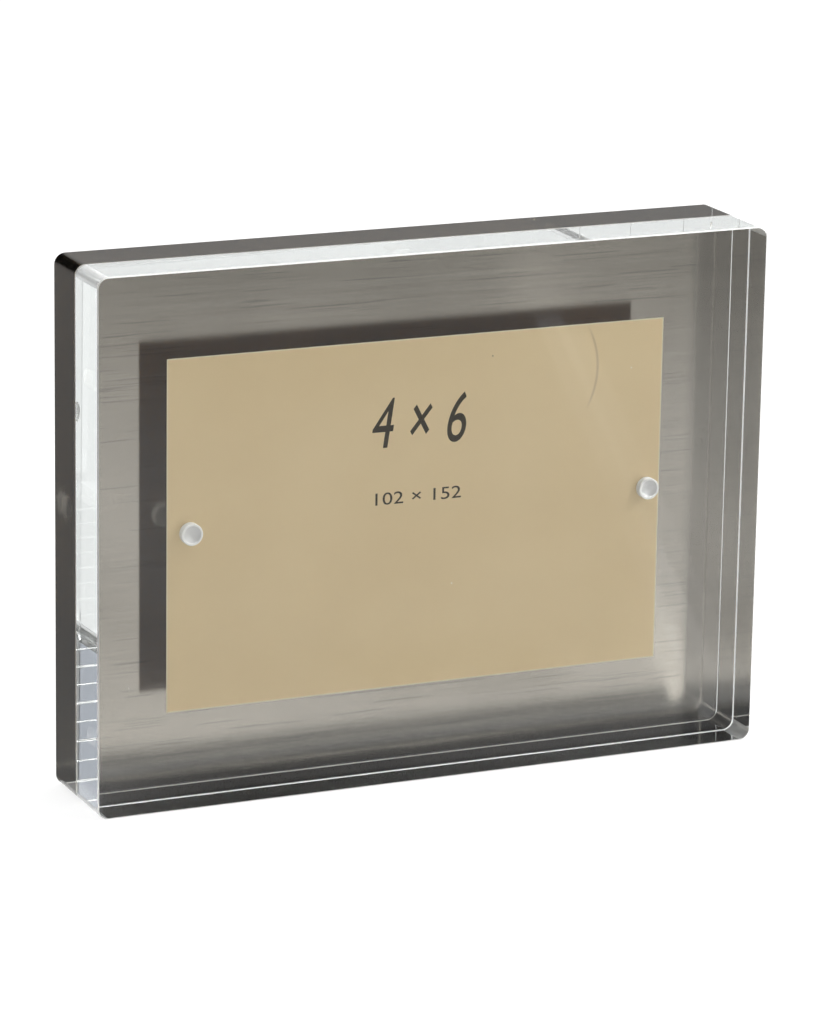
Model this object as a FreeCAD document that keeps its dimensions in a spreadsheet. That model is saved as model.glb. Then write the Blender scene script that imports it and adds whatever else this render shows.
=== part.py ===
import FreeCAD, Part
import Sketcher
import os

# A block picture frame that stands by itself: thick clear blocks face each other,
# magnets in blind pockets pull them together, and a print card lies in the gap between them.
# A dark metallic sheet is bonded to the back of the rear block.
# Millimetres. X runs along the width, Y from front to back, Z up.
# The origin is on the ground, in the middle of the width and of the whole depth.

# Cosine past which a normal or an edge counts as running from front to back
ALONG_Y = 0.99

DIMENSIONS = (
    ("frame_width", 203.8),
    ("frame_height", 153.7),
    ("front_block_depth", 17.3),
    ("rear_block_depth", 16.6),
    ("corner_radius", 3.2),
    ("edge_chamfer", 0.35),
    ("adhesive_thickness", 0.05),
    ("sheet_thickness", 0.35),
    ("sheet_inset", 0.4),
    ("card_width", 152.4),
    ("card_height", 101.6),
    ("card_thickness", 0.25),
    ("card_clearance", 0.03),
    ("card_shift", 1.3),
    ("card_drop", 0.8),
    ("magnet_edge_inset", 5.5),
    ("magnet_diameter", 4.9),
    ("magnet_length", 3.4),
    ("magnet_chamfer", 0.2),
    ("sleeve_wall", 0.65),
    ("sleeve_length", 3.6),
    ("glue_gap", 0.03),
)

# Sizes that follow from the driving dimensions, as formulas on the sheet's cells
TOTAL_DEPTH = (
    "(Sizes.front_block_depth + Sizes.rear_block_depth + Sizes.card_thickness"
    " + 2 * Sizes.card_clearance + Sizes.adhesive_thickness + Sizes.sheet_thickness)"
)
HALF_GAP = "(Sizes.card_thickness / 2 + Sizes.card_clearance)"
FRONT_FACE = f"(-{TOTAL_DEPTH} / 2)"
CARD_PLANE = f"({FRONT_FACE} + Sizes.front_block_depth + {HALF_GAP})"
REAR_OF_BLOCK = f"({CARD_PLANE} + {HALF_GAP} + Sizes.rear_block_depth)"
MID_HEIGHT = "Sizes.frame_height / 2"
MAGNET_OFFSET = "(Sizes.card_width / 2 - Sizes.magnet_edge_inset)"
SLEEVE_BORE = "(Sizes.magnet_diameter + 2 * Sizes.glue_gap)"
SLEEVE_DIAMETER = f"({SLEEVE_BORE} + 2 * Sizes.sleeve_wall)"
POCKET_DIAMETER = f"({SLEEVE_DIAMETER} + 2 * Sizes.glue_gap)"
POCKET_DEPTH = "(Sizes.sleeve_length + Sizes.glue_gap)"

HALF_TURN = FreeCAD.Rotation(FreeCAD.Vector(0, 0, 1), 180)

doc = FreeCAD.newDocument("block_frame")
pieces = []


def make_sheet():
    """The driving dimensions, one named cell each."""
    sheet = doc.addObject("Spreadsheet::Sheet", "Sizes")
    for row, (alias, value) in enumerate(DIMENSIONS, start=1):
        sheet.set(f"A{row}", alias)
        sheet.set(f"B{row}", str(value))
        sheet.setAlias(f"B{row}", alias)
    doc.recompute()


def new_piece(name, x="0", y="0", z=MID_HEIGHT, turned=False):
    """A body whose own XZ plane is its mating face, which it grows away from, towards -Y."""
    body = doc.addObject("PartDesign::Body", name)
    body.Label = name
    if turned:
        body.Placement = FreeCAD.Placement(FreeCAD.Vector(), HALF_TURN)
    body.setExpression("Placement.Base.x", x)
    body.setExpression("Placement.Base.y", y)
    body.setExpression("Placement.Base.z", z)
    pieces.append(body)
    return body


def new_sketch(body, name):
    """A sketch on the body's XZ plane: its normal points to the body's -Y."""
    sketch = body.newObject("Sketcher::SketchObject", f"{body.Label}_{name}")
    plane = next(item for item in body.Origin.OriginFeatures if item.Role == "XZ_Plane")
    sketch.AttachmentSupport = [(plane, "")]
    sketch.MapMode = "FlatFace"
    return sketch


def constrain(sketch, kind, *refs, name=None, formula=None):
    """One constraint, and for a driving size its name and its formula."""
    index = sketch.addConstraint(Sketcher.Constraint(kind, *refs))
    if name:
        sketch.renameConstraint(index, name)
        sketch.setExpression(f"Constraints.{name}", formula)


def draw_rectangle(sketch, width, height):
    """A rectangle centred on the sketch's origin."""
    corners = [FreeCAD.Vector(x, z, 0) for x, z in ((-1, -1), (1, -1), (1, 1), (-1, 1))]
    for start, end in zip(corners, corners[1:] + corners[:1]):
        sketch.addGeometry(Part.LineSegment(start, end))
    for side in range(len(corners)):
        following = (side + 1) % len(corners)
        constrain(sketch, "Coincident", side, 2, following, 1)
        constrain(sketch, "Vertical" if side % 2 else "Horizontal", side)
    constrain(sketch, "Symmetric", 0, 1, 2, 1, -1, 1)
    constrain(sketch, "DistanceX", 0, 1, 0, 2, 1.0, name="width", formula=width)
    constrain(sketch, "DistanceY", 1, 1, 1, 2, 1.0, name="height", formula=height)


def draw_circle(sketch, diameter, name, offset=None):
    """A circle on the sketch's horizontal axis, centred or moved along it."""
    up = FreeCAD.Vector(0, 0, 1)
    circle = sketch.addGeometry(Part.Circle(FreeCAD.Vector(), up, 1))
    constrain(sketch, "Diameter", circle, 1.0, name=name, formula=diameter)
    if offset is None:
        constrain(sketch, "Coincident", circle, 3, -1, 1)
    else:
        constrain(sketch, "PointOnObject", circle, 3, -1)
        constrain(sketch, "DistanceX", -1, 1, circle, 3, 1.0, name=f"{name}_offset", formula=offset)


def pad(body, sketch, length):
    feature = body.newObject("PartDesign::Pad", f"{body.Label}_pad")
    feature.Profile = sketch
    feature.setExpression("Length", length)
    doc.recompute()
    return feature


def faces_across(shape):
    """Names of the flat faces that look straight to the front or to the back."""
    return [
        f"Face{index}"
        for index, face in enumerate(shape.Faces, start=1)
        if abs(face.normalAt(0, 0).y) > ALONG_Y
    ]


def edges_through(shape):
    """Names of the straight edges that run from front to back."""
    return [
        f"Edge{index}"
        for index, edge in enumerate(shape.Edges, start=1)
        if isinstance(edge.Curve, Part.Line) and abs(edge.Curve.Direction.y) > ALONG_Y
    ]


def round_corners(body, base, radius):
    feature = body.newObject("PartDesign::Fillet", f"{body.Label}_corners")
    feature.Base = (base, edges_through(base.Shape))
    feature.setExpression("Radius", radius)
    doc.recompute()
    return feature


def break_edges(body, base, size):
    feature = body.newObject("PartDesign::Chamfer", f"{body.Label}_edges")
    feature.Base = (base, faces_across(base.Shape))
    feature.setExpression("Size", size)
    doc.recompute()
    return feature


def make_block(name, depth, y, turned):
    """A clear block with polished rounded corners and two blind magnet pockets in its mating face."""
    body = new_piece(name, y=y, turned=turned)
    outline = new_sketch(body, "outline")
    draw_rectangle(outline, "Sizes.frame_width", "Sizes.frame_height")
    slab = pad(body, outline, depth)
    rounded = round_corners(body, slab, "Sizes.corner_radius")
    solid = break_edges(body, rounded, "Sizes.edge_chamfer")
    holes = new_sketch(body, "pockets")
    draw_circle(holes, POCKET_DIAMETER, "left", offset=f"-{MAGNET_OFFSET}")
    draw_circle(holes, POCKET_DIAMETER, "right", offset=MAGNET_OFFSET)
    pockets = body.newObject("PartDesign::Pocket", f"{name}_magnet_pockets")
    pockets.Profile = holes
    pockets.setExpression("Length", POCKET_DEPTH)
    pockets.Reversed = True
    doc.recompute()
    if pockets.Shape.Volume >= solid.Shape.Volume:
        raise RuntimeError(f"the magnet pockets cut nothing from {name}")


def make_back_layer(name, thickness, y):
    """A thin layer behind the rear block, just inside the block's outline."""
    body = new_piece(name, y=y, turned=True)
    outline = new_sketch(body, "outline")
    draw_rectangle(
        outline,
        "Sizes.frame_width - 2 * Sizes.sheet_inset",
        "Sizes.frame_height - 2 * Sizes.sheet_inset",
    )
    slab = pad(body, outline, thickness)
    round_corners(body, slab, "Sizes.corner_radius - Sizes.sheet_inset")


def make_card():
    """The print card, square cornered, a little off centre in the gap as it was laid in."""
    body = new_piece(
        "insert_card",
        x="-Sizes.card_shift",
        y=f"{CARD_PLANE} + Sizes.card_thickness / 2",
        z=f"{MID_HEIGHT} - Sizes.card_drop",
    )
    outline = new_sketch(body, "outline")
    draw_rectangle(outline, "Sizes.card_width", "Sizes.card_height")
    pad(body, outline, "Sizes.card_thickness")


def make_sleeve(name, x, y, turned):
    """The white sleeve that lines a pocket."""
    body = new_piece(name, x=x, y=y, turned=turned)
    ring = new_sketch(body, "ring")
    draw_circle(ring, SLEEVE_DIAMETER, "outside")
    draw_circle(ring, SLEEVE_BORE, "bore")
    pad(body, ring, "Sizes.sleeve_length")


def make_magnet(name, x, y, turned):
    """A plated disc magnet in its sleeve, flush with the block's mating face."""
    body = new_piece(name, x=x, y=y, turned=turned)
    disc = new_sketch(body, "disc")
    draw_circle(disc, "Sizes.magnet_diameter", "disc")
    solid = pad(body, disc, "Sizes.magnet_length")
    break_edges(body, solid, "Sizes.magnet_chamfer")


def check_document():
    for item in doc.Objects:
        if "Invalid" in item.State or "Error" in item.State:
            raise RuntimeError(f"{item.Label}: {item.State}")
    for body in pieces:
        if body.Shape.isNull() or not body.Shape.isValid() or len(body.Shape.Solids) != 1:
            raise RuntimeError(f"{body.Label} is not one sound solid")


make_sheet()
FRONT_MATING_FACE = f"{CARD_PLANE} - {HALF_GAP}"
REAR_MATING_FACE = f"{CARD_PLANE} + {HALF_GAP}"

make_block("front_block", "Sizes.front_block_depth", FRONT_MATING_FACE, turned=False)
make_block("rear_block", "Sizes.rear_block_depth", REAR_MATING_FACE, turned=True)
make_back_layer("back_adhesive", "Sizes.adhesive_thickness", REAR_OF_BLOCK)
make_back_layer("back_sheet", "Sizes.sheet_thickness", f"{REAR_OF_BLOCK} + Sizes.adhesive_thickness")
make_card()
for block, face, turned in (("front", FRONT_MATING_FACE, False), ("rear", REAR_MATING_FACE, True)):
    for hand, offset in (("left", f"-{MAGNET_OFFSET}"), ("right", MAGNET_OFFSET)):
        make_sleeve(f"{block}_sleeve_{hand}", offset, face, turned)
        make_magnet(f"{block}_magnet_{hand}", offset, face, turned)

doc.recompute()
check_document()
os.makedirs("parts", exist_ok=True)
for body in pieces:
    body.Shape.exportStep(os.path.join("parts", f"{body.Label}.step"))
    box = body.Shape.BoundBox
    print(
        f"{body.Label:20s} volume {body.Shape.Volume:10.2f}"
        f"  x {box.XMin:8.2f} {box.XMax:8.2f}  y {box.YMin:7.2f} {box.YMax:7.2f}"
        f"  z {box.ZMin:7.2f} {box.ZMax:7.2f}"
    )
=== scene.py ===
import bmesh
import bpy
import math
from mathutils import Matrix, Vector
from mathutils.geometry import tessellate_polygon


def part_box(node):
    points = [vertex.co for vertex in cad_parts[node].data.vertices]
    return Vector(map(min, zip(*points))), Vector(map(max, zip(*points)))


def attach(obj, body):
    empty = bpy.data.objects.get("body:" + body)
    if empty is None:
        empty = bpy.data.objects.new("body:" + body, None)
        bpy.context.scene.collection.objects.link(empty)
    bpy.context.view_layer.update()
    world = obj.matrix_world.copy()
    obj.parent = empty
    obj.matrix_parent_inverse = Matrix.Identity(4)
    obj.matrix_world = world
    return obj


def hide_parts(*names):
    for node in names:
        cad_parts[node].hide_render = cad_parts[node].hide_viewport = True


# A block picture frame that stands by itself: two thick clear blocks held face to face by magnets,
# a print card between them, and a dark brushed metallic sheet bonded to the back.
# Metres. X runs along the width, Y from front to back, Z up, and the ground is at zero.

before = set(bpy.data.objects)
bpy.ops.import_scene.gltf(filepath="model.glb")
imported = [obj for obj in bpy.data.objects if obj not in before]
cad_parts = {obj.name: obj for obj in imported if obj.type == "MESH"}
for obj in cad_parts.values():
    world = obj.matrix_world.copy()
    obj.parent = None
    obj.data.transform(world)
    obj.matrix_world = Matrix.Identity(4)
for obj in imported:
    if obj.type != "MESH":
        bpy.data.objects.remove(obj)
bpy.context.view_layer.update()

MM = 0.001

# Sizes that the source has too
CORNER_RADIUS = 3.2 * MM
EDGE_CHAMFER = 0.35 * MM
MAGNET_CHAMFER = 0.2 * MM
GLUE_GAP = 0.03 * MM

# Finer forms than the source has. The bond line parts the rear block's face from the adhesive's.
FINE_CHAMFER = 0.18 * MM
BOND_LINE = 0.01 * MM
RIM_ROUNDING = 0.12 * MM
DISH_DEPTH = 0.38 * MM

# How finely the round forms are divided, and the angle from which a magnet's edge is sharp
CORNER_STEPS = 28
POCKET_STEPS = 72
MAGNET_STEPS = 96
SLEEVE_STEPS = 96
RIM_STEPS = 4
DISH_RINGS = 10
SHARP_ANGLE = math.radians(35)

# Dust: where it lies from front to back, how many flecks there are for each square metre, how long
# they are, their height as a share of that, and how much less than the card the dusty field measures
DUST_DEPTH = (0.004 * MM, 0.019 * MM)
FLECK_DENSITY = 1600.0
FLECK_SIZES = (0.10 * MM, 0.42 * MM)
FLECK_NARROWNESS = 0.55
DUST_MARGIN = 2 * MM
DUST_SEED = 11

# Print on the card: where the ink lies from front to back, the middle and the size of each line of
# numbers as x and z, and the first line's slant
INK_DEPTH = (0.017 * MM, 0.030 * MM)
PRINTED_SIZE_PLACE = (-1.3 * MM, 103.0 * MM)
PRINTED_SIZE_REACH = (29.0 * MM, 14.5 * MM)
PRINTED_SIZE_SLANT = 0.22
PRINTED_NUMBERS_PLACE = (-1.3 * MM, 81.1 * MM)
PRINTED_NUMBERS_REACH = (26.5 * MM, 3.6 * MM)

# A crease in the card, drawn as painted shade: its middle as x and z, its bow for each metre squared,
# how far above or below its middle and how far from its line it starts to fade and is gone, and how strong
# its shade is
CREASE_MIDDLE = (54.2 * MM, 114.0 * MM)
CREASE_BOW = 22.0
CREASE_REACH = (7.8 * MM, 13.0 * MM)
CREASE_WIDTH = (0.15 * MM, 0.55 * MM)
CREASE_SHADE_SHARE = 0.30

# Finishes: linear colours, and lengths in metres
ACRYLIC_IOR = 1.491
FACE_TINT = (0.985, 0.992, 0.988, 1)
WALL_TINT = (0.95, 0.985, 0.972, 1)
CORNER_TINT = (0.97, 0.985, 0.98, 1)
EDGE_WHITE = (0.96, 0.97, 0.96, 1)
EDGE_GREY = (0.55, 0.53, 0.49, 1)
GUNMETAL = (0.53, 0.486, 0.426, 1)
SHEET_GREY = (0.30, 0.29, 0.28, 1)
SCRATCH_DARK = (0.16, 0.15, 0.14, 1)
CARD_TAN = (0.785, 0.61, 0.345, 1)
CARD_PALE = (0.845, 0.67, 0.395, 1)
CARD_CUT_EDGE = (0.86, 0.79, 0.60, 1)
CARD_BACK = (0.32, 0.19, 0.10, 1)
INK_BROWN = (0.030, 0.020, 0.007, 1)
SLEEVE_WHITE = (0.95, 0.95, 0.93, 1)
NICKEL = (0.80, 0.80, 0.79, 1)
ADHESIVE_DARK = (0.05, 0.048, 0.045, 1)
DUST_PALE = (0.75, 0.74, 0.70, 1)
SPECK_BROWN = (0.10, 0.075, 0.05, 1)
BUBBLE_GREY = (0.8, 0.8, 0.78, 1)
FLOOR_WHITE = (0.88, 0.88, 0.88, 1)
WHITE = (1, 1, 1, 1)
BLACK = (0, 0, 0, 1)

# Between what values a noise mostly lies, and how rough a speck on the acrylic is
NOISE_SPREAD = (0.3, 0.7)
SPECK_ROUGHNESS = 0.6

# How each pattern is drawn out, as its scale along X, Y and Z
FINE_STRETCH = (0.012, 0.012, 1.0)
BROAD_STRETCH = (0.03, 0.03, 1.0)
LONE_STRETCH = (0.016, 0.016, 1.0)
FIBRE_STRETCH = (0.55, 1.0, 1.0)

# The foil: how strong its scratches are, and the painted shade on its right margin: where along X it
# starts to darken and is darkest, and its share of black at each
SCRATCH_SHARE = 0.30
PAINTED_MARGIN_SHADE = (87 * MM, 93.5 * MM, 0.0, 0.30)

# The card: how strong its specks and pale cut edges are, where the edges' paleness starts and is
# full, inwards from the cut, and how deep the colour of each face reaches
SPECK_SHARE = 0.55
CUT_EDGE_SHARE = 0.85
CUT_EDGE_INSIDE = 0.45 * MM
CUT_EDGE_OUTSIDE = 0.15 * MM
CARD_FACE_DEPTH = 0.1 * MM


# Helpers for colours and nodes

def shade(colour, share):
    """The same colour darker or lighter, no lighter than white."""
    return tuple(min(1.0, share * part) for part in colour[:3]) + (1,)


def add(tree, kind, **settings):
    """A node of that kind with its settings made."""
    node = tree.nodes.new(kind)
    for name, value in settings.items():
        setattr(node, name, value)
    return node


def feed(tree, target, value):
    """Links a socket to an input, or writes a plain value there."""
    if isinstance(value, bpy.types.NodeSocket):
        tree.links.new(value, target)
    else:
        target.default_value = value


def math_node(tree, operation, first, second=None, third=None):
    node = add(tree, "ShaderNodeMath", operation=operation)
    for socket, value in zip(node.inputs, (first, second, third)):
        if value is not None:
            feed(tree, socket, value)
    return node.outputs["Value"]


def mix_values(tree, share, first, second):
    node = add(tree, "ShaderNodeMix", data_type="FLOAT")
    feed(tree, node.inputs[0], share)
    feed(tree, node.inputs[2], first)
    feed(tree, node.inputs[3], second)
    return node.outputs[0]


def times(tree, first, second):
    return math_node(tree, "MULTIPLY", first, second)


def sum_of(tree, first, second, share):
    """first plus share times second."""
    return math_node(tree, "MULTIPLY_ADD", second, share, first)


def rest_of(tree, share):
    """What a share leaves of one."""
    return math_node(tree, "SUBTRACT", 1.0, share)


def size_of(tree, value):
    return math_node(tree, "ABSOLUTE", value)


def ramp_between(tree, value, low, high, start=0.0, end=1.0):
    """A soft step from start to end as the value goes from low to high."""
    node = add(tree, "ShaderNodeMapRange", interpolation_type="SMOOTHSTEP")
    feed(tree, node.inputs["Value"], value)
    node.inputs["From Min"].default_value = low
    node.inputs["From Max"].default_value = high
    node.inputs["To Min"].default_value = start
    node.inputs["To Max"].default_value = end
    return node.outputs["Result"]


def window(tree, value, opening, closing):
    """One between a soft step up and a soft step down, and nothing outside them."""
    return times(tree, ramp_between(tree, value, *opening), ramp_between(tree, value, *closing))


def colour_inputs(node):
    return [socket for socket in node.inputs if socket.type == "RGBA"]


def mix_colours(tree, share, first, second):
    node = add(tree, "ShaderNodeMix", data_type="RGBA")
    feed(tree, node.inputs[0], share)
    first_input, second_input = colour_inputs(node)
    feed(tree, first_input, first)
    feed(tree, second_input, second)
    return next(socket for socket in node.outputs if socket.type == "RGBA")


def stretched(tree, vector, scale):
    """The same place with its axes scaled, in repeats to a metre."""
    node = add(tree, "ShaderNodeMapping")
    feed(tree, node.inputs["Vector"], vector)
    node.inputs["Scale"].default_value = scale
    return node.outputs["Vector"]


def noise(tree, vector, scale, detail, roughness):
    node = add(tree, "ShaderNodeTexNoise")
    feed(tree, node.inputs["Vector"], vector)
    feed(tree, node.inputs["Scale"], scale)
    node.inputs["Detail"].default_value = detail
    node.inputs["Roughness"].default_value = roughness
    return node.outputs[0]


def object_place(tree):
    return add(tree, "ShaderNodeTexCoord").outputs["Object"]


def split_axes(tree, vector):
    node = add(tree, "ShaderNodeSeparateXYZ")
    tree.links.new(vector, node.inputs["Vector"])
    return [node.outputs[axis] for axis in "XYZ"]


def bump(tree, height, distance, strength):
    node = add(tree, "ShaderNodeBump")
    node.inputs["Strength"].default_value = strength
    node.inputs["Distance"].default_value = distance
    feed(tree, node.inputs["Height"], height)
    return node.outputs["Normal"]


# Shared effects

def new_effect(name, inputs, outputs):
    """A shader node group with named number inputs and outputs, and its two end nodes."""
    tree = bpy.data.node_groups.new(name, "ShaderNodeTree")
    vector = tree.interface.new_socket("Place", in_out="INPUT", socket_type="NodeSocketVector")
    vector.hide_value = True
    for label, value in inputs:
        socket = tree.interface.new_socket(label, in_out="INPUT", socket_type="NodeSocketFloat")
        socket.default_value = value
    for label in outputs:
        tree.interface.new_socket(label, in_out="OUTPUT", socket_type="NodeSocketFloat")
    return tree, add(tree, "NodeGroupInput"), add(tree, "NodeGroupOutput")


def make_brushing():
    """Long fine lines along X, as a brushing belt leaves them, and the odd deeper scratch."""
    tree, given, made = new_effect("belt brushing", (("Lines", 2600.0),), ("Grain", "Scratch"))
    place = given.outputs["Place"]
    lines = given.outputs["Lines"]
    fine = noise(tree, stretched(tree, place, FINE_STRETCH), scale=lines, detail=3.0, roughness=0.6)
    broad = noise(tree, stretched(tree, place, BROAD_STRETCH), scale=420.0, detail=2.0, roughness=0.5)
    grain = mix_values(tree, 0.45, fine, broad)
    lone = noise(tree, stretched(tree, place, LONE_STRETCH), scale=2400.0, detail=0.0, roughness=0.5)
    scratch = ramp_between(tree, lone, 0.70, 0.76)
    tree.links.new(grain, made.inputs["Grain"])
    tree.links.new(scratch, made.inputs["Scratch"])
    return tree


def make_clouding():
    """Slow uneven tone over a hand's breadth."""
    tree, given, made = new_effect("slow clouding", (("Scale", 14.0),), ("Tone",))
    tone = noise(tree, given.outputs["Place"], given.outputs["Scale"], detail=2.0, roughness=0.55)
    tree.links.new(ramp_between(tree, tone, *NOISE_SPREAD), made.inputs["Tone"])
    return tree


def make_specks():
    """A few fine round specks, by the share of cells that hold one."""
    tree, given, made = new_effect(
        "scattered specks", (("Cells", 260.0), ("Share", 0.05), ("Size", 0.12)), ("Speck",)
    )
    cells = add(tree, "ShaderNodeTexVoronoi", feature="F1")
    tree.links.new(given.outputs["Place"], cells.inputs["Vector"])
    tree.links.new(given.outputs["Cells"], cells.inputs["Scale"])
    near = math_node(tree, "LESS_THAN", cells.outputs["Distance"], given.outputs["Size"])
    lot = add(tree, "ShaderNodeSeparateColor")
    tree.links.new(cells.outputs["Color"], lot.inputs["Color"])
    chosen = math_node(tree, "LESS_THAN", lot.outputs[0], given.outputs["Share"])
    tree.links.new(times(tree, near, chosen), made.inputs["Speck"])
    return tree


BRUSHING = make_brushing()
CLOUDING = make_clouding()
SPECKS = make_specks()


def use_effect(tree, effect, place, **values):
    """The effect placed in a material with its own values."""
    node = add(tree, "ShaderNodeGroup", node_tree=effect)
    tree.links.new(place, node.inputs["Place"])
    for label, value in values.items():
        node.inputs[label].default_value = value
    return node.outputs


# Materials

def new_finish(name, colour, roughness, metallic=0.0):
    """A material with one plain shader, its tree and that shader."""
    finish = bpy.data.materials.new(name)
    finish.use_nodes = True
    shader = finish.node_tree.nodes["Principled BSDF"]
    shader.inputs["Base Color"].default_value = colour
    shader.inputs["Roughness"].default_value = roughness
    shader.inputs["Metallic"].default_value = metallic
    return finish, finish.node_tree, shader


def polished_acrylic(name, tint, clearness, glint=1.0):
    """Clear polished acrylic with a few dull specks. Less than full clearness leaves a trace of haze.
    glint is the share of its surface reflection that is left."""
    finish, tree, shader = new_finish(name, tint, roughness=0.0)
    shader.inputs["Specular Tint"].default_value = (glint, glint, glint, 1)
    shader.inputs["IOR"].default_value = ACRYLIC_IOR
    shader.inputs["Transmission Weight"].default_value = clearness
    place = object_place(tree)
    speck = use_effect(tree, SPECKS, place, Cells=420.0, Share=0.003, Size=0.08)["Speck"]
    tree.links.new(times(tree, speck, SPECK_ROUGHNESS), shader.inputs["Roughness"])
    return finish


def scraped_edge(name, colour, transmission, glow):
    """A narrow broken edge, scraped white. Its glow is painted light: an emission that stands in for light
    led through the block.
    """
    finish, tree, shader = new_finish(name, colour, roughness=0.4)
    shader.inputs["IOR"].default_value = ACRYLIC_IOR
    shader.inputs["Transmission Weight"].default_value = transmission
    shader.inputs["Emission Strength"].default_value = glow
    shader.inputs["Emission Color"].default_value = colour
    place = object_place(tree)
    chatter = noise(tree, place, scale=1500.0, detail=2.0, roughness=0.5)
    rough = ramp_between(tree, chatter, *NOISE_SPREAD, start=0.30, end=0.50)
    tree.links.new(rough, shader.inputs["Roughness"])
    chip = use_effect(tree, SPECKS, place, Cells=700.0, Share=0.03, Size=0.3)["Speck"]
    tree.links.new(mix_colours(tree, chip, colour, WHITE), shader.inputs["Base Color"])
    return finish


def glued_pocket():
    """The wall of a magnet pocket, wetted by clear glue so that light goes straight on to the sleeve."""
    finish, tree, shader = new_finish("glued pocket", WHITE, roughness=0.0)
    shader.inputs["IOR"].default_value = 1.0
    shader.inputs["Transmission Weight"].default_value = 1.0
    bubble = use_effect(tree, SPECKS, object_place(tree), Cells=1500.0, Share=0.003, Size=0.12)["Speck"]
    tree.links.new(mix_colours(tree, bubble, WHITE, BUBBLE_GREY), shader.inputs["Base Color"])
    return finish


def brushed_gunmetal(name, colour, roughness):
    """Dark metallic foil with a horizontal brushing, fine scratches, and painted shade that darkens its
    right margin.
    """
    finish, tree, shader = new_finish(name, colour, roughness, metallic=1.0)
    shader.inputs["Anisotropic"].default_value = 0.8
    shader.inputs["Anisotropic Rotation"].default_value = 0.25
    place = object_place(tree)
    brushed = use_effect(tree, BRUSHING, place, Lines=2600.0)
    cloud = use_effect(tree, CLOUDING, place, Scale=16.0)["Tone"]
    share = mix_values(tree, 0.65, cloud, brushed["Grain"])
    toned = mix_colours(tree, share, shade(colour, 0.78), shade(colour, 1.22))
    scratched = mix_colours(tree, times(tree, brushed["Scratch"], SCRATCH_SHARE), toned, SCRATCH_DARK)
    # Painted shade: the foil's right margin darkens towards black
    x, _, _ = split_axes(tree, place)
    margin_shade = ramp_between(tree, x, *PAINTED_MARGIN_SHADE)
    tree.links.new(mix_colours(tree, margin_shade, scratched, BLACK), shader.inputs["Base Color"])
    rough = ramp_between(
        tree, brushed["Grain"], *NOISE_SPREAD, start=0.85 * roughness, end=1.15 * roughness
    )
    tree.links.new(rough, shader.inputs["Roughness"])
    return finish


def painted_crease_mask(tree, x, z):
    """Where the painted shade of a faint bowed crease near the card's upper right corner lies."""
    rise = math_node(tree, "SUBTRACT", z, CREASE_MIDDLE[1])
    line = math_node(tree, "SUBTRACT", x, CREASE_MIDDLE[0])
    line = sum_of(tree, line, times(tree, rise, rise), CREASE_BOW)
    thin = ramp_between(tree, size_of(tree, line), *CREASE_WIDTH, 1.0, 0.0)
    short = ramp_between(tree, size_of(tree, rise), *CREASE_REACH, 1.0, 0.0)
    return times(tree, thin, short)


def card_border(tree, x, z):
    """One at the card's four cut edges, fading out just inside them."""
    low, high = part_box("insert_card")
    sides = []
    for place, near, far in ((x, low.x, high.x), (z, low.z, high.z)):
        off_middle = size_of(tree, math_node(tree, "SUBTRACT", place, (near + far) / 2))
        half = (far - near) / 2
        sides.append(ramp_between(tree, off_middle, half - CUT_EDGE_INSIDE, half - CUT_EDGE_OUTSIDE))
    return math_node(tree, "MAXIMUM", *sides)


def card_paper():
    """Matt tan card with a fibrous tone, a few specks, painted shade along a crease, paler cut edges and a
    brown back.
    """
    finish, tree, shader = new_finish("tan card", CARD_TAN, roughness=0.62)
    place = object_place(tree)
    cloud = use_effect(tree, CLOUDING, place, Scale=22.0)["Tone"]
    fibres = noise(
        tree, stretched(tree, place, FIBRE_STRETCH), scale=2400.0, detail=3.0, roughness=0.65
    )
    toned = mix_colours(tree, mix_values(tree, 0.45, cloud, fibres), CARD_TAN, CARD_PALE)
    speck = use_effect(tree, SPECKS, place, Cells=190.0, Share=0.022, Size=0.05)["Speck"]
    specked = mix_colours(tree, times(tree, speck, SPECK_SHARE), toned, SPECK_BROWN)
    x, y, z = split_axes(tree, place)
    border = times(tree, card_border(tree, x, z), CUT_EDGE_SHARE)
    edged = mix_colours(tree, border, specked, CARD_CUT_EDGE)
    # Painted shade along the crease, in the back's brown
    crease_shade = times(tree, painted_crease_mask(tree, x, z), CREASE_SHADE_SHARE)
    shade_in_crease = mix_colours(tree, crease_shade, edged, CARD_BACK)
    low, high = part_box("insert_card")
    behind = ramp_between(tree, y, low.y + CARD_FACE_DEPTH, high.y - CARD_FACE_DEPTH)
    tree.links.new(mix_colours(tree, behind, shade_in_crease, CARD_BACK), shader.inputs["Base Color"])
    tree.links.new(bump(tree, fibres, distance=0.01 * MM, strength=0.5), shader.inputs["Normal"])
    return finish


def printed_ink():
    finish, tree, shader = new_finish("brown ink", INK_BROWN, roughness=0.6)
    shader.inputs["Specular IOR Level"].default_value = 0.1
    fibres = noise(tree, object_place(tree), scale=2600.0, detail=2.0, roughness=0.6)
    toned = mix_colours(tree, ramp_between(tree, fibres, 0.45, 0.75), INK_BROWN, shade(INK_BROWN, 1.9))
    tree.links.new(toned, shader.inputs["Base Color"])
    return finish


def white_sleeve():
    finish, tree, shader = new_finish("white sleeve", SLEEVE_WHITE, roughness=0.35)
    place = object_place(tree)
    tone = use_effect(tree, CLOUDING, place, Scale=500.0)["Tone"]
    toned = mix_colours(tree, tone, SLEEVE_WHITE, shade(SLEEVE_WHITE, 0.95))
    tree.links.new(toned, shader.inputs["Base Color"])
    rough = ramp_between(tree, tone, 0.0, 1.0, start=0.30, end=0.42)
    tree.links.new(rough, shader.inputs["Roughness"])
    return finish


def nickel_plate():
    finish, tree, shader = new_finish("nickel plate", NICKEL, roughness=0.25, metallic=0.5)
    orange_peel = noise(tree, object_place(tree), scale=900.0, detail=1.0, roughness=0.5)
    rough = ramp_between(tree, orange_peel, *NOISE_SPREAD, start=0.42, end=0.52)
    tree.links.new(rough, shader.inputs["Roughness"])
    return finish


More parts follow.
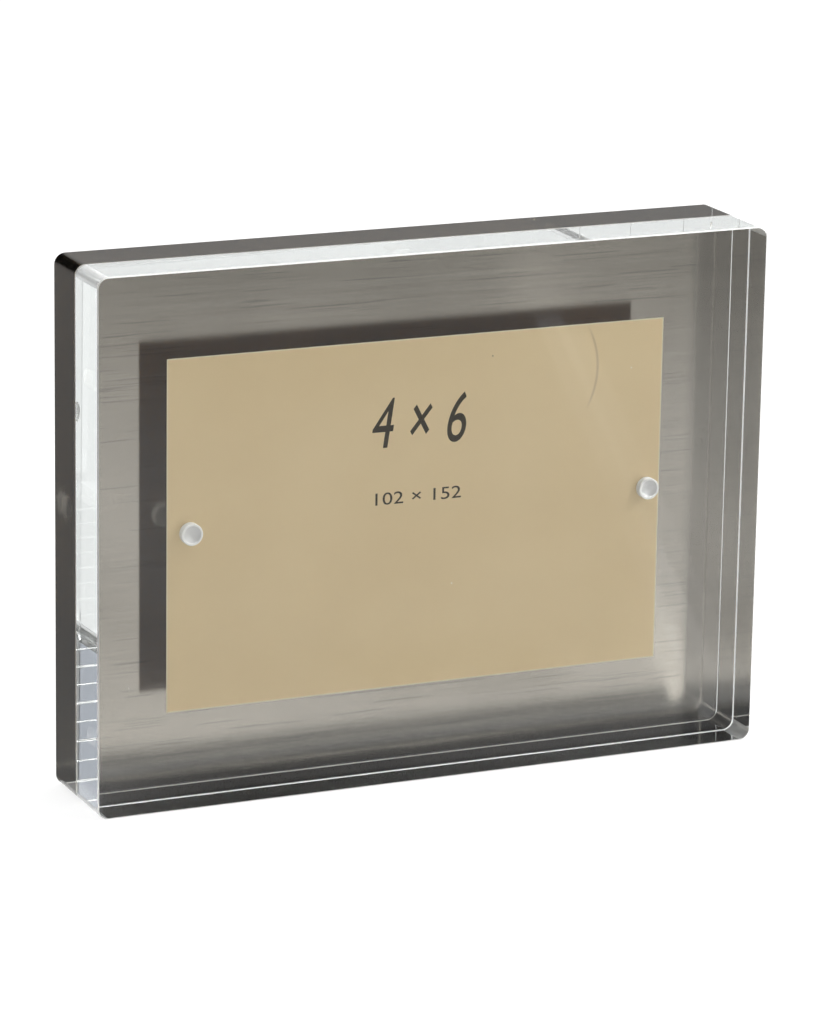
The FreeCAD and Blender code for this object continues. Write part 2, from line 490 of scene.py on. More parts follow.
def adhesive_film():
    finish, tree, shader = new_finish("adhesive film", ADHESIVE_DARK, roughness=0.3)
    tone = use_effect(tree, CLOUDING, object_place(tree), Scale=60.0)["Tone"]
    toned = mix_colours(tree, tone, ADHESIVE_DARK, shade(ADHESIVE_DARK, 1.6))
    tree.links.new(toned, shader.inputs["Base Color"])
    return finish


def dust_fleck():
    finish, tree, shader = new_finish("dust", DUST_PALE, roughness=0.9)
    tone = noise(tree, object_place(tree), scale=5000.0, detail=1.0, roughness=0.5)
    toned = mix_colours(tree, tone, shade(DUST_PALE, 0.5), DUST_PALE)
    tree.links.new(toned, shader.inputs["Base Color"])
    return finish


FACE_FINISH = polished_acrylic("polished face", FACE_TINT, clearness=1.0, glint=0.75)
HAZY_WALL_FINISH = polished_acrylic("polished wall with a trace of haze", WALL_TINT, clearness=0.955)
CLEAR_WALL_FINISH = polished_acrylic("polished clear wall", WALL_TINT, clearness=1.0)
CORNER_FINISH = polished_acrylic("buffed corner", CORNER_TINT, clearness=0.55)
# The scraped edge's glow below is painted light
EDGE_FINISH = scraped_edge("scraped edge", EDGE_WHITE, transmission=0.6, glow=0.15)
FOIL_EDGE_FINISH = scraped_edge("edge under the foil", EDGE_GREY, transmission=0.2, glow=0.0)
FINE_EDGE_FINISH = scraped_edge("finer edge of the rear block", EDGE_WHITE, transmission=0.85, glow=0.0)
POCKET_FINISH = glued_pocket()
BONDED_FINISH = brushed_gunmetal("gunmetal foil through the block", GUNMETAL, roughness=0.12)
SHEET_FINISH = brushed_gunmetal("gunmetal foil from behind", SHEET_GREY, roughness=0.34)
CARD_FINISH = card_paper()
INK_FINISH = printed_ink()
SLEEVE_FINISH = white_sleeve()
MAGNET_FINISH = nickel_plate()
ADHESIVE_FINISH = adhesive_film()
DUST_FINISH = dust_fleck()


# Clear blocks

def block_outline(low, high, inset):
    """The rounded outline, anticlockwise from the front: x, z and the way it faces at each point."""
    reach = CORNER_RADIUS - inset
    centres = (
        (high.x - CORNER_RADIUS, high.z - CORNER_RADIUS),
        (low.x + CORNER_RADIUS, high.z - CORNER_RADIUS),
        (low.x + CORNER_RADIUS, low.z + CORNER_RADIUS),
        (high.x - CORNER_RADIUS, low.z + CORNER_RADIUS),
    )
    points = []
    for quarter, (x, z) in enumerate(centres):
        for step in range(CORNER_STEPS + 1):
            angle = math.pi / 2 * (quarter + step / CORNER_STEPS)
            out_x, out_z = math.cos(angle), math.sin(angle)
            points.append((x + reach * out_x, z + reach * out_z, out_x, out_z))
    return points


# A wall faces right where its outward x is above the first, and is rounded where its ends turn by
# more than the second
RIGHTWARD = 0.9
SLIGHT_TURN = 0.001


class BlockMesh:
    """Points, faces, the finish of each face and the exact normal of each face corner."""

    def __init__(self):
        self.points, self.faces, self.finishes, self.normals = [], [], [], []

    def add_ring(self, ring, y):
        first = len(self.points)
        self.points.extend(Vector((x, y, z)) for x, z, _, _ in ring)
        return list(range(first, first + len(ring)))

    def add_face(self, corners, finish, normals):
        self.faces.append(corners)
        self.finishes.append(finish)
        self.normals.extend(normals)

    def add_band(self, ring, front, back, finish, lean=0.0, right_finish=None, corner_finish=None):
        """Faces between two rings. lean is how far their normals turn from the outline towards +Y.
        The block's right side and its rounded corners may have finishes of their own."""
        count = len(ring)
        flat = math.sqrt(1 - lean * lean)
        for here in range(count):
            there = (here + 1) % count
            ways = [
                Vector((ring[corner][2] * flat, lean, ring[corner][3] * flat))
                for corner in (here, here, there, there)
            ]
            right = right_finish is not None and min(ring[here][2], ring[there][2]) > RIGHTWARD
            turn = ring[here][2] * ring[there][3] - ring[here][3] * ring[there][2]
            rounded = corner_finish is not None and turn > SLIGHT_TURN
            side = corner_finish if rounded else right_finish if right else finish
            self.add_face([front[here], back[here], back[there], front[there]], side, ways)

    def add_cap(self, loops, facing, finish):
        """A flat face that looks along -Y or +Y, with any holes as further loops."""
        rings = [[self.points[index] for index in loop] for loop in loops]
        order = [index for loop in loops for index in loop]
        for triangle in tessellate_polygon(rings):
            corners = [order[index] for index in triangle]
            a, b, c = (self.points[index] for index in corners)
            if (b - a).cross(c - a).y * facing < 0:
                corners.reverse()
            self.add_face(corners, finish, [Vector((0, facing, 0))] * len(corners))

    def build(self, name, finishes):
        mesh = bpy.data.meshes.new(name)
        mesh.from_pydata([tuple(point) for point in self.points], [], self.faces)
        for finish in finishes:
            mesh.materials.append(finish)
        mesh.polygons.foreach_set("material_index", self.finishes)
        mesh.polygons.foreach_set("use_smooth", [True] * len(self.faces))
        mesh.update()
        mesh.normals_split_custom_set([tuple(normal) for normal in self.normals])
        piece = bpy.data.objects.new(name, mesh)
        bpy.context.scene.collection.objects.link(piece)
        return piece


FACE, HAZY_WALL, EDGE, POCKET, BONDED, FOIL_EDGE, CLEAR_WALL, FINE_EDGE, CORNER = range(9)
BLOCK_FINISHES = (
    FACE_FINISH, HAZY_WALL_FINISH, EDGE_FINISH, POCKET_FINISH, BONDED_FINISH,
    FOIL_EDGE_FINISH, CLEAR_WALL_FINISH, FINE_EDGE_FINISH, CORNER_FINISH,
)
DIAGONAL = math.sqrt(0.5)


def pocket_ring(x, z, radius):
    """A bore's outline: x, z and the way its wall faces, which is inwards."""
    ring = []
    for step in range(POCKET_STEPS):
        angle = 2 * math.pi * step / POCKET_STEPS
        out_x, out_z = math.cos(angle), math.sin(angle)
        ring.append((x + radius * out_x, z + radius * out_z, -out_x, -out_z))
    return ring


def bore_pocket(block, sleeve, mating, face_y):
    """A blind bore for a sleeve, from the mating face inwards. Gives the loop of its mouth."""
    near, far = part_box(sleeve)
    x, z = (near.x + far.x) / 2, (near.z + far.z) / 2
    ring = pocket_ring(x, z, (far.x - near.x) / 2 + GLUE_GAP)
    depth = far.y - near.y + GLUE_GAP
    mouth = block.add_ring(ring, face_y)
    floor = block.add_ring(ring, face_y - mating * depth)
    front, back = (floor, mouth) if mating > 0 else (mouth, floor)
    for here in range(POCKET_STEPS):
        there = (here + 1) % POCKET_STEPS
        ways = [
            Vector((ring[corner][2], 0, ring[corner][3]))
            for corner in (here, there, there, here)
        ]
        block.add_face([front[here], front[there], back[there], back[here]], POCKET, ways)
    block.add_cap([floor], mating, POCKET)
    return mouth


def make_clear_block(name, node, mating, sleeves):
    """One clear block: polished faces and walls, broken edges and two bored pockets.
    mating is the way that the mating face looks: +1 on the front block, -1 on the rear block."""
    in_front = mating > 0
    low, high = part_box(node)
    if not in_front:
        high.y -= BOND_LINE
    near_edge = EDGE_CHAMFER if in_front else FINE_CHAMFER
    full = block_outline(low, high, 0.0)
    block = BlockMesh()
    front_loop = block.add_ring(block_outline(low, high, near_edge), low.y)
    wall_start = block.add_ring(full, low.y + near_edge)
    wall_end = block.add_ring(full, high.y - FINE_CHAMFER)
    back_loop = block.add_ring(block_outline(low, high, FINE_CHAMFER), high.y)
    if in_front:
        block.add_band(full, front_loop, wall_start, EDGE, -DIAGONAL, right_finish=CLEAR_WALL)
        block.add_band(
            full, wall_start, wall_end, HAZY_WALL, right_finish=CLEAR_WALL, corner_finish=CORNER
        )
        block.add_band(full, wall_end, back_loop, EDGE, DIAGONAL)
    else:
        block.add_band(full, front_loop, wall_start, FINE_EDGE, -DIAGONAL)
        block.add_band(full, wall_start, wall_end, CLEAR_WALL)
        block.add_band(full, wall_end, back_loop, FOIL_EDGE, DIAGONAL, right_finish=FINE_EDGE)
    mouths = [bore_pocket(block, sleeve, mating, high.y if in_front else low.y) for sleeve in sleeves]
    block.add_cap([front_loop] if in_front else [front_loop] + mouths, -1, FACE)
    block.add_cap([back_loop] + mouths if in_front else [back_loop], 1, FACE if in_front else BONDED)
    return block.build(name, BLOCK_FINISHES)


front_piece = make_clear_block(
    "front_clear_block", "front_block", mating=1, sleeves=("front_sleeve_left", "front_sleeve_right")
)
rear_piece = make_clear_block(
    "rear_clear_block", "rear_block", mating=-1, sleeves=("rear_sleeve_left", "rear_sleeve_right")
)
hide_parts("front_block")
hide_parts("rear_block")
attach(front_piece, "front_assembly")
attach(rear_piece, "rear_assembly")


# Pieces kept from the CAD model

def finish_node(node, finish):
    """Gives a node's own mesh its finish."""
    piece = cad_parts[node]
    piece.data.materials.clear()
    piece.data.materials.append(finish)


finish_node("back_adhesive", ADHESIVE_FINISH)
finish_node("back_sheet", SHEET_FINISH)
finish_node("insert_card", CARD_FINISH)


# What repeats: sleeves and dust

def new_shape_tree(name, inputs):
    """A Geometry Nodes tree with named inputs, and its two end nodes."""
    tree = bpy.data.node_groups.new(name, "GeometryNodeTree")
    tree.interface.new_socket("Geometry", in_out="OUTPUT", socket_type="NodeSocketGeometry")
    for label, kind in inputs:
        tree.interface.new_socket(label, in_out="INPUT", socket_type=f"NodeSocket{kind}")
    return tree, add(tree, "NodeGroupInput").outputs, add(tree, "NodeGroupOutput")


def set_inputs(tree, node, **values):
    """Feeds a node's inputs by name, with _ for each space."""
    for label, value in values.items():
        feed(tree, node.inputs[label.replace("_", " ")], value)
    return node


def finish_tree(tree, shape, finish, made):
    """Real faces in place of copies, with their finish."""
    solid = add(tree, "GeometryNodeRealizeInstances")
    tree.links.new(shape, solid.inputs["Geometry"])
    painted = add(tree, "GeometryNodeSetMaterial")
    painted.inputs["Material"].default_value = finish
    tree.links.new(solid.outputs["Geometry"], painted.inputs["Geometry"])
    tree.links.new(painted.outputs["Geometry"], made.inputs["Geometry"])
    return tree


def make_sleeve_tree():
    """Two short tubes with rounded rims, side by side along X, their axes along Y."""
    tree, sizes, made = new_shape_tree("pair of sleeves", (
        ("Outside Radius", "Float"), ("Bore Radius", "Float"), ("Length", "Float"),
        ("Rim Rounding", "Float"), ("Left Place", "Vector"), ("Spacing", "Float"),
    ))
    outside, bore = sizes["Outside Radius"], sizes["Bore Radius"]
    middle = times(tree, math_node(tree, "ADD", outside, bore), 0.5)
    path = set_inputs(
        tree, add(tree, "GeometryNodeCurvePrimitiveCircle"), Resolution=SLEEVE_STEPS, Radius=middle
    )
    wall = set_inputs(
        tree, add(tree, "GeometryNodeCurvePrimitiveQuadrilateral"),
        Width=math_node(tree, "SUBTRACT", outside, bore), Height=sizes["Length"],
    )
    rounded = add(tree, "GeometryNodeFilletCurve", mode="POLY")
    set_inputs(
        tree, rounded, Curve=wall.outputs["Curve"], Count=RIM_STEPS, Radius=sizes["Rim Rounding"]
    )
    tube = add(tree, "GeometryNodeCurveToMesh")
    tree.links.new(path.outputs["Curve"], tube.inputs["Curve"])
    tree.links.new(rounded.outputs["Curve"], tube.inputs["Profile Curve"])
    turned = add(tree, "GeometryNodeTransform")
    set_inputs(tree, turned, Geometry=tube.outputs["Mesh"], Rotation=(math.pi / 2, 0, 0))
    step = add(tree, "ShaderNodeCombineXYZ")
    tree.links.new(sizes["Spacing"], step.inputs["X"])
    row = set_inputs(
        tree, add(tree, "GeometryNodeMeshLine"),
        Count=2, Start_Location=sizes["Left Place"], Offset=step.outputs["Vector"],
    )
    copies = add(tree, "GeometryNodeInstanceOnPoints")
    set_inputs(tree, copies, Points=row.outputs["Mesh"], Instance=turned.outputs["Geometry"])
    smooth = add(tree, "GeometryNodeSetShadeSmooth")
    tree.links.new(copies.outputs["Instances"], smooth.inputs["Geometry"])
    return finish_tree(tree, smooth.outputs["Geometry"], SLEEVE_FINISH, made)


def make_dust_tree():
    """Flat flecks strewn over an upright rectangle, each turned and sized by chance."""
    tree, sizes, made = new_shape_tree("trapped dust", (
        ("Width", "Float"), ("Height", "Float"), ("Middle", "Vector"), ("Thickness", "Float"),
        ("Flecks for each Square Metre", "Float"), ("Smallest", "Float"), ("Largest", "Float"),
        ("Seed", "Int"),
    ))
    field = set_inputs(
        tree, add(tree, "GeometryNodeMeshGrid"),
        Size_X=sizes["Width"], Size_Y=sizes["Height"], Vertices_X=2, Vertices_Y=2,
    )
    upright = add(tree, "GeometryNodeTransform")
    set_inputs(
        tree, upright,
        Geometry=field.outputs["Mesh"], Rotation=(math.pi / 2, 0, 0), Translation=sizes["Middle"],
    )
    strewn = add(tree, "GeometryNodeDistributePointsOnFaces", distribute_method="RANDOM")
    set_inputs(
        tree, strewn, Mesh=upright.outputs["Geometry"],
        Density=sizes["Flecks for each Square Metre"], Seed=sizes["Seed"],
    )
    fleck = set_inputs(tree, add(tree, "GeometryNodeMeshIcoSphere"), Radius=0.5, Subdivisions=2)
    across = add(tree, "FunctionNodeRandomValue", data_type="FLOAT")
    set_inputs(tree, across, Min=sizes["Smallest"], Max=sizes["Largest"], Seed=sizes["Seed"])
    number_out = next(socket for socket in across.outputs if socket.enabled)
    spread = add(tree, "ShaderNodeCombineXYZ")
    tree.links.new(number_out, spread.inputs["X"])
    tree.links.new(sizes["Thickness"], spread.inputs["Y"])
    tree.links.new(times(tree, number_out, FLECK_NARROWNESS), spread.inputs["Z"])
    lean = add(tree, "FunctionNodeRandomValue", data_type="FLOAT_VECTOR")
    low_turn, high_turn = [socket for socket in lean.inputs if socket.enabled and socket.type == "VECTOR"]
    low_turn.default_value = (0, 0, 0)
    high_turn.default_value = (0, math.pi, 0)
    copies = add(tree, "GeometryNodeInstanceOnPoints")
    set_inputs(
        tree, copies, Points=strewn.outputs["Points"], Instance=fleck.outputs["Mesh"],
        Rotation=next(socket for socket in lean.outputs if socket.enabled), Scale=spread.outputs["Vector"],
    )
    return finish_tree(tree, copies.outputs["Instances"], DUST_FINISH, made)


def build_tree(name, tree, values):
    """The tree's result as one plain mesh."""
    piece = bpy.data.objects.new(name, bpy.data.meshes.new(name))
    bpy.context.scene.collection.objects.link(piece)
    maker = piece.modifiers.new("maker", "NODES")
    maker.node_group = tree
    for socket in tree.interface.items_tree:
        if socket.in_out == "INPUT":
            maker[socket.identifier] = values[socket.name]
    bpy.context.view_layer.update()
    shaped = piece.evaluated_get(bpy.context.evaluated_depsgraph_get())
    mesh = bpy.data.meshes.new_from_object(shaped)
    piece.modifiers.remove(maker)
    piece.data = mesh
    return piece


def make_sleeves(tree, block):
    """The block's two sleeves as one piece, which rides with it."""
    left_low, left_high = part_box(f"{block}_sleeve_left")
    right_low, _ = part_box(f"{block}_sleeve_right")
    magnet_low, magnet_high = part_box(f"{block}_magnet_left")
    place = (left_low + left_high) / 2
    piece = build_tree(f"{block}_sleeves", tree, {
        "Outside Radius": (left_high.x - left_low.x) / 2,
        "Bore Radius": (magnet_high.x - magnet_low.x) / 2 + GLUE_GAP,
        "Length": left_high.y - left_low.y,
        "Rim Rounding": RIM_ROUNDING,
        "Left Place": tuple(place),
        "Spacing": right_low.x - left_low.x,
    })
    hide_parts(f"{block}_sleeve_left", f"{block}_sleeve_right")
    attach(piece, f"{block}_assembly")


def make_dust(tree):
    """Dust caught between the card and the front block, which rides on the card."""
    low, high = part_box("insert_card")
    near, far = DUST_DEPTH
    smallest, largest = FLECK_SIZES
    piece = build_tree("trapped_dust", tree, {
        "Width": high.x - low.x - DUST_MARGIN,
        "Height": high.z - low.z - DUST_MARGIN,
        "Middle": ((low.x + high.x) / 2, (near + far) / 2, (low.z + high.z) / 2),
        "Thickness": far - near,
        "Flecks for each Square Metre": FLECK_DENSITY,
        "Smallest": smallest,
        "Largest": largest,
        "Seed": DUST_SEED,
    })
    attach(piece, "card")


SLEEVE_TREE = make_sleeve_tree()
make_sleeves(SLEEVE_TREE, "front")
make_sleeves(SLEEVE_TREE, "rear")
make_dust(make_dust_tree())


# Magnets

def magnet_section(radius, length, chamfer):
    """Half the section from the middle of the dished end to the middle of the flat end: out and along."""
    dish = [
        (radius * ring / DISH_RINGS, DISH_DEPTH * (1 - (ring / DISH_RINGS) ** 2))
        for ring in range(DISH_RINGS + 1)
    ]
    return dish + [(radius, length - chamfer), (radius - chamfer, length), (0.0, length)]


def make_magnet(node, body, inward):
    """A plated disc turned about Y. Its dished end lies deep in the pocket, its flat end in the mating
    face. inward is -1 in the front block and +1 in the rear block."""
    low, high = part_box(node)
    x, z = (low.x + high.x) / 2, (low.z + high.z) / 2
    start = low.y if inward < 0 else high.y
    section = magnet_section((high.x - low.x) / 2, high.y - low.y, MAGNET_CHAMFER)
    shape = bmesh.new()
    turns = [2 * math.pi * step / MAGNET_STEPS for step in range(MAGNET_STEPS)]
    rings = []
    for out, along in section:
        y = start - inward * along
        rings.append([
            shape.verts.new((x + out * math.cos(turn), y, z + out * math.sin(turn)))
            for turn in (turns if out > 0 else turns[:1])
        ])
    for near, far in zip(rings, rings[1:]):
        for step in range(MAGNET_STEPS):
            there = (step + 1) % MAGNET_STEPS
            corners = [
                near[step % len(near)], near[there % len(near)],
                far[there % len(far)], far[step % len(far)],
            ]
            shape.faces.new(list(dict.fromkeys(corners)))
    bmesh.ops.recalc_face_normals(shape, faces=shape.faces)
    for face in shape.faces:
        face.smooth = True
    mesh = bpy.data.meshes.new(f"dished_{node}")
    shape.to_mesh(mesh)
    shape.free()
    mesh.set_sharp_from_angle(angle=SHARP_ANGLE)
    mesh.materials.append(MAGNET_FINISH)
    piece = bpy.data.objects.new(f"dished_{node}", mesh)
    bpy.context.scene.collection.objects.link(piece)
    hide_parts(node)
    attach(piece, body)


for hand in ("left", "right"):
    make_magnet(f"front_magnet_{hand}", "front_assembly", inward=-1)
    make_magnet(f"rear_magnet_{hand}", "rear_assembly", inward=1)


# Print on the card

def make_print(name, words, slant, middle, size):
    """Thick ink on the card's front: words fitted into a box that is size wide and high about middle."""
    letters = bpy.data.curves.new(name, "FONT")
    letters.body = words
    letters.shear = slant
    letters.extrude = 0.5
    letters.resolution_u = 6
    text = bpy.data.objects.new(name, letters)
    bpy.context.scene.collection.objects.link(text)
    bpy.context.view_layer.update()
    flat = bpy.data.meshes.new_from_object(text.evaluated_get(bpy.context.evaluated_depsgraph_get()))
    bpy.data.objects.remove(text)
    low = Vector([min(point.co[axis] for point in flat.vertices) for axis in range(3)])
    high = Vector([max(point.co[axis] for point in flat.vertices) for axis in range(3)])
    near, far = INK_DEPTH
    for point in flat.vertices:
        across, up, out = [(point.co[axis] - low[axis]) / (high[axis] - low[axis]) for axis in range(3)]
        point.co = (
            middle[0] + (across - 0.5) * size[0],
            far + (near - far) * out,
            middle[1] + (up - 0.5) * size[1],
        )
    shape = bmesh.new()
    shape.from_mesh(flat)
    bmesh.ops.remove_doubles(shape, verts=shape.verts, dist=0.001 * MM)
    bmesh.ops.recalc_face_normals(shape, faces=shape.faces)
    shape.to_mesh(flat)
    shape.free()
    flat.materials.clear()
    flat.materials.append(INK_FINISH)
    piece = bpy.data.objects.new(name, flat)
    bpy.context.scene.collection.objects.link(piece)
    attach(piece, "card")


make_print(
    "printed_size", "4 \u00d7 6", PRINTED_SIZE_SLANT, PRINTED_SIZE_PLACE, PRINTED_SIZE_REACH
)
make_print("printed_numbers", "102 \u00d7 152", 0.0, PRINTED_NUMBERS_PLACE, PRINTED_NUMBERS_REACH)


# Studio

# The floor lies a little below the frame's foot and reaches far out. The shadow share is the part of
# its white, as the camera sees it, that comes from the lamps and can be shaded.
FLOOR_DEPTH = 0.15 * MM
FLOOR_HALF = 14.0
FLOOR_GLOW = 1.06
SHADOW_SHARE = 0.22

# The floor's painted light and shade, as glass and metal see them. A row is a soft step along X or Y in
# metres: where it starts, where it ends, and its values there, which are 0 and 1 where none are given. A
# pair of rows is a step up and a step down.
FADE_TO_FRONT = (-0.62, -0.30, 0.34, 0.78)
DIM_SHARE = (-0.45, -0.25, 0.12, 0.28)
DIM_BACK = (-0.20, -0.12, 1.0, 0.0)
DIM_LEFT = (-0.04, 0.0, 1.0, 0.0)
NEAR_FLOOR = (-0.07, -0.05)
NEAR_TONE = 0.92
PATCH_ACROSS = ((0.010, 0.025), (0.075, 0.090, 1.0, 0.0))
PATCH_ALONG = ((-0.15, -0.12), (-0.068, -0.062, 0.30, 0.0))
# Below: a painted shadow just before the frame's foot, painted light beside and under the block, a painted
# highlight along a line, and painted shade to the back left
FOOT = (-0.034, -0.027)
FOOT_TONE = (-0.06, 0.08, 0.09, 0.12)
BESIDE_BLOCK = (-0.0188, -0.0178)
BESIDE_TONE = 1.04
LINE_START = 0.0970
LINE_SLOPE = 0.367
LINE_WIDTH = (0.0045, 0.0075, 1.0, 0.0)
LINE_ALONG = ((-0.54, -0.50), (-0.01, 0.01, 1.0, 0.0))
LINE_TONE = 1.17
BACK_LEFT_EDGE = (-0.095, -0.075, 1.0, 0.0)
BACK_LEFT_FRONT = (-0.01, 0.0)
BACK_LEFT_TONE = 0.33
UNDER_ACROSS = (0.105, 0.115, 1.0, 0.0)
UNDER_ALONG = (0.0176, 0.0186, 1.0, 0.0)
UNDER_TONE = (-0.10, 0.10, 1.13, 1.31)


def grey(tree, value):
    node = add(tree, "ShaderNodeCombineColor")
    for socket in node.inputs:
        tree.links.new(value, socket)
    return node.outputs[0]


def painted_floor_light(tree, x, y):
    """Painted light and shade on the floor, as the blocks and the foil see it: fading to the front, a
    painted highlight along the line that the front block's left wall looks through to, painted shade to
    the back left and to the front left, a painted shadow just before the frame's foot, and painted light
    again beside and under it."""
    dimmer = times(tree, ramp_between(tree, y, *DIM_SHARE), ramp_between(tree, y, *DIM_BACK))
    left = times(tree, dimmer, ramp_between(tree, x, *DIM_LEFT))
    tone = times(tree, ramp_between(tree, y, *FADE_TO_FRONT), rest_of(tree, left))
    tone = mix_values(tree, ramp_between(tree, y, *NEAR_FLOOR), tone, NEAR_TONE)
    patch = times(tree, window(tree, x, *PATCH_ACROSS), window(tree, y, *PATCH_ALONG))
    tone = times(tree, tone, rest_of(tree, patch))
    tone = mix_values(tree, ramp_between(tree, y, *FOOT), tone, ramp_between(tree, x, *FOOT_TONE))
    tone = mix_values(tree, ramp_between(tree, y, *BESIDE_BLOCK), tone, BESIDE_TONE)
    off_line = sum_of(tree, math_node(tree, "SUBTRACT", x, LINE_START), y, LINE_SLOPE)
    line = times(
        tree,
        ramp_between(tree, size_of(tree, off_line), *LINE_WIDTH),
        window(tree, y, *LINE_ALONG),
    )
    tone = mix_values(tree, line, tone, LINE_TONE)
    back_left = times(
        tree,
        ramp_between(tree, sum_of(tree, x, y, LINE_SLOPE), *BACK_LEFT_EDGE),
        ramp_between(tree, y, *BACK_LEFT_FRONT),
    )
    tone = mix_values(tree, back_left, tone, BACK_LEFT_TONE)
    under = times(
        tree,
        ramp_between(tree, size_of(tree, x), *UNDER_ACROSS),
        ramp_between(tree, size_of(tree, y), *UNDER_ALONG),
    )
    return mix_values(tree, under, tone, ramp_between(tree, x, *UNDER_TONE))


def floor_finish():
    """Pale floor. The camera sees it white with the frame's shadow, glass and metal see painted light and
    shade on it, and light that a matt surface gathers finds it evenly white, through glass or not."""
    finish, tree, shader = new_finish("pale floor", FLOOR_WHITE, roughness=0.9)
    shader.inputs["Specular IOR Level"].default_value = 0.0
    x, y, _ = split_axes(tree, object_place(tree))
    tone = painted_floor_light(tree, x, y)
    path = add(tree, "ShaderNodeLightPath")
    mirrored = math_node(
        tree, "MAXIMUM", path.outputs["Is Glossy Ray"], path.outputs["Is Transmission Ray"]
    )
    gathered = math_node(tree, "GREATER_THAN", path.outputs["Diffuse Depth"], 0.5)
    toned = times(tree, mirrored, rest_of(tree, gathered))
    glow = add(tree, "ShaderNodeEmission")
    tree.links.new(grey(tree, mix_values(tree, toned, FLOOR_GLOW, tone)), glow.inputs["Color"])
    seen = times(tree, path.outputs["Is Camera Ray"], 1.0 - SHADOW_SHARE)
    mixer = add(tree, "ShaderNodeMixShader")
    glowing = math_node(tree, "MAXIMUM", math_node(tree, "MAXIMUM", seen, mirrored), gathered)
    tree.links.new(glowing, mixer.inputs[0])
    tree.links.new(shader.outputs[0], mixer.inputs[1])
    tree.links.new(glow.outputs[0], mixer.inputs[2])
    output = next(node for node in tree.nodes if node.type == "OUTPUT_MATERIAL")
    tree.links.new(mixer.outputs[0], output.inputs["Surface"])
    return finish


def lay_floor():
    mesh = bpy.data.meshes.new("pale_floor")
    quarters = ((-1, -1), (1, -1), (1, 1), (-1, 1))
    corners = [(x * FLOOR_HALF, y * FLOOR_HALF, -FLOOR_DEPTH) for x, y in quarters]
    mesh.from_pydata(corners, [], [(0, 1, 2, 3)])
    mesh.materials.append(floor_finish())
    floor = bpy.data.objects.new("pale_floor", mesh)
    bpy.context.scene.collection.objects.link(floor)


ROOM_GREY = (0.51, 0.535, 0.605, 1)
ROOM_DARK = (0.012, 0.012, 0.012, 1)
ROOM_BEHIND = (0.40, 0.40, 0.40, 1)
ROOM_ABOVE = WHITE

# The room's soft steps, in rows of the same kind, over directions: how far one turns to the right from
# straight to the front, in radians, and otherwise its x, y or z at a length of one
PANEL_TURN = ((0.333, 0.338), (0.3555, 0.3570, 1.0, 0.0))
PANEL_HEIGHT = ((0.26, 0.28), (0.34, 0.37, 1.0, 0.0))
SIDE_TURN = ((0.37, 0.47, 0.0, 0.19), (0.60, 0.70, 1.0, 0.0))
SIDE_HEIGHT = ((0.24, 0.28), (0.34, 0.38, 1.0, 0.0))
GREY_WALL = (0.05, 0.22)
FRONT_TO_BACK = (-0.2, 0.2)
HORIZON_HEIGHT = ((0.015, 0.025), (0.05, 0.06, 1.0, 0.0))
HORIZON_LEFT = (-0.42, -0.38, 1.0, 0.0)
CEILING = (0.52, 0.80)


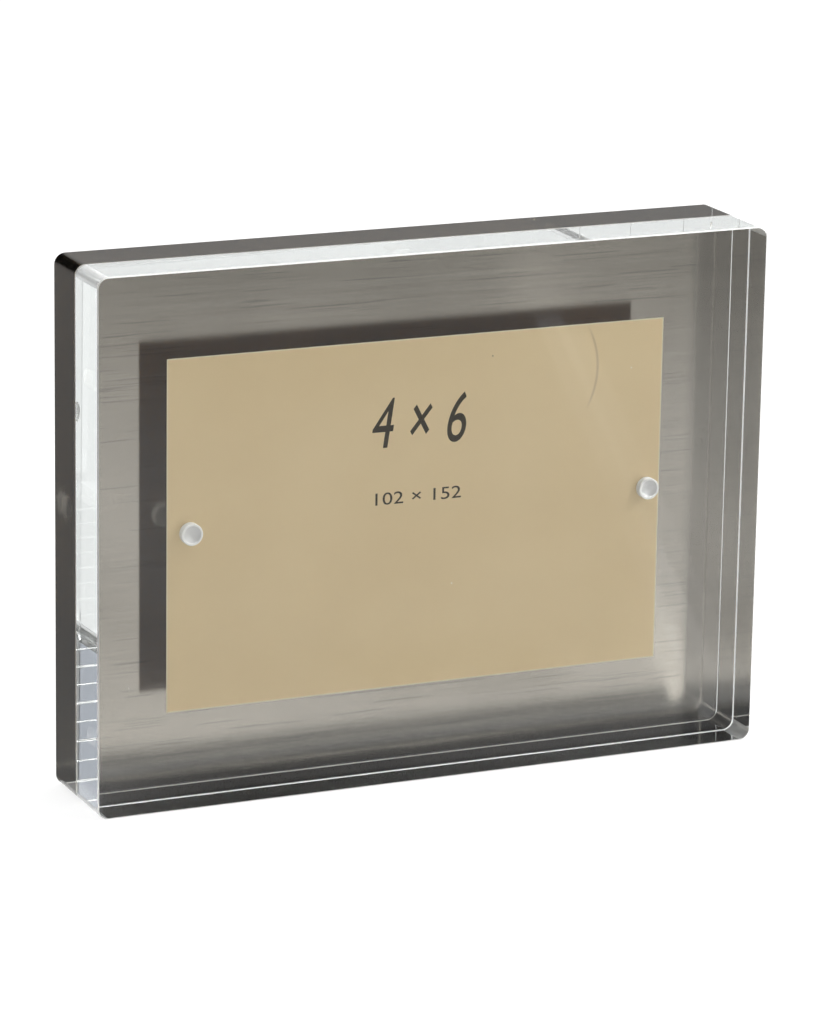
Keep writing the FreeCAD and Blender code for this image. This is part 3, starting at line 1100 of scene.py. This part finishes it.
def set_world():
    """A dim room with a bright ceiling: a narrow grey panel in front, a wide faint one to its right, a
    grey wall behind to the right, and a thin bright horizon to the left. The camera sees it white."""
    world = bpy.data.worlds.new("studio room")
    bpy.context.scene.world = world
    world.use_nodes = True
    tree = world.node_tree
    x, y, z = split_axes(tree, add(tree, "ShaderNodeTexCoord").outputs["Generated"])
    turn = math_node(tree, "ARCTAN2", x, times(tree, y, -1.0))
    panel = times(tree, window(tree, turn, *PANEL_TURN), window(tree, z, *PANEL_HEIGHT))
    side = times(tree, window(tree, turn, *SIDE_TURN), window(tree, z, *SIDE_HEIGHT))
    front = mix_colours(tree, math_node(tree, "MAXIMUM", panel, side), ROOM_DARK, ROOM_GREY)
    back = mix_colours(tree, ramp_between(tree, x, *GREY_WALL), ROOM_DARK, ROOM_BEHIND)
    room = mix_colours(tree, ramp_between(tree, y, *FRONT_TO_BACK), front, back)
    horizon = times(tree, window(tree, z, *HORIZON_HEIGHT), ramp_between(tree, x, *HORIZON_LEFT))
    room = mix_colours(tree, horizon, room, ROOM_ABOVE)
    room = mix_colours(tree, ramp_between(tree, z, *CEILING), room, ROOM_ABOVE)
    room = mix_colours(tree, add(tree, "ShaderNodeLightPath").outputs["Is Camera Ray"], room, ROOM_ABOVE)
    background = tree.nodes["Background"]
    tree.links.new(room, background.inputs["Color"])
    background.inputs["Strength"].default_value = 1.0


def hang_lamp(name, place, aim, size, power):
    """A round white softbox turned towards aim."""
    lamp = bpy.data.lights.new(name, "AREA")
    lamp.shape = "DISK"
    lamp.size = size
    lamp.energy = power
    holder = bpy.data.objects.new(name, lamp)
    holder.location = place
    holder.rotation_euler = (Vector(aim) - Vector(place)).to_track_quat("-Z", "Y").to_euler()
    bpy.context.scene.collection.objects.link(holder)


CAMERA_PLACE = Vector((-0.53744, -1.19117, 0.42849))
CAMERA_YAW = math.radians(24.243)
CAMERA_PITCH = math.radians(-15.158)
CAMERA_ROLL = math.radians(0.937)
CAMERA_LENS = 167.25


def set_camera():
    camera = bpy.data.cameras.new("camera")
    camera.lens = CAMERA_LENS
    camera.sensor_width = 36
    camera.clip_start = 0.05
    camera.clip_end = 60
    holder = bpy.data.objects.new("camera", camera)
    turn = (
        Matrix.Rotation(-CAMERA_YAW, 4, "Z")
        @ Matrix.Rotation(math.pi / 2 + CAMERA_PITCH, 4, "X")
        @ Matrix.Rotation(CAMERA_ROLL, 4, "Z")
    )
    holder.matrix_world = Matrix.Translation(CAMERA_PLACE) @ turn
    bpy.context.scene.collection.objects.link(holder)
    bpy.context.scene.camera = holder


lay_floor()
set_world()
hang_lamp("overhead softbox", place=(0.25, 0.35, 1.6), aim=(0, 0, 0), size=1.3, power=22.0)
hang_lamp("right softbox", place=(1.45, -0.75, 1.30), aim=(0, 0, 0.08), size=1.2, power=60.0)
set_camera()

# Light goes round inside the blocks hundreds of times, so its path is cut off late
MIRROR_BOUNCES = 400

scene = bpy.context.scene
scene.view_settings.view_transform = "Standard"
scene.cycles.max_bounces = MIRROR_BOUNCES
scene.cycles.transmission_bounces = MIRROR_BOUNCES
scene.cycles.glossy_bounces = MIRROR_BOUNCES
scene.cycles.diffuse_bounces = 4
scene.cycles.transparent_max_bounces = 16
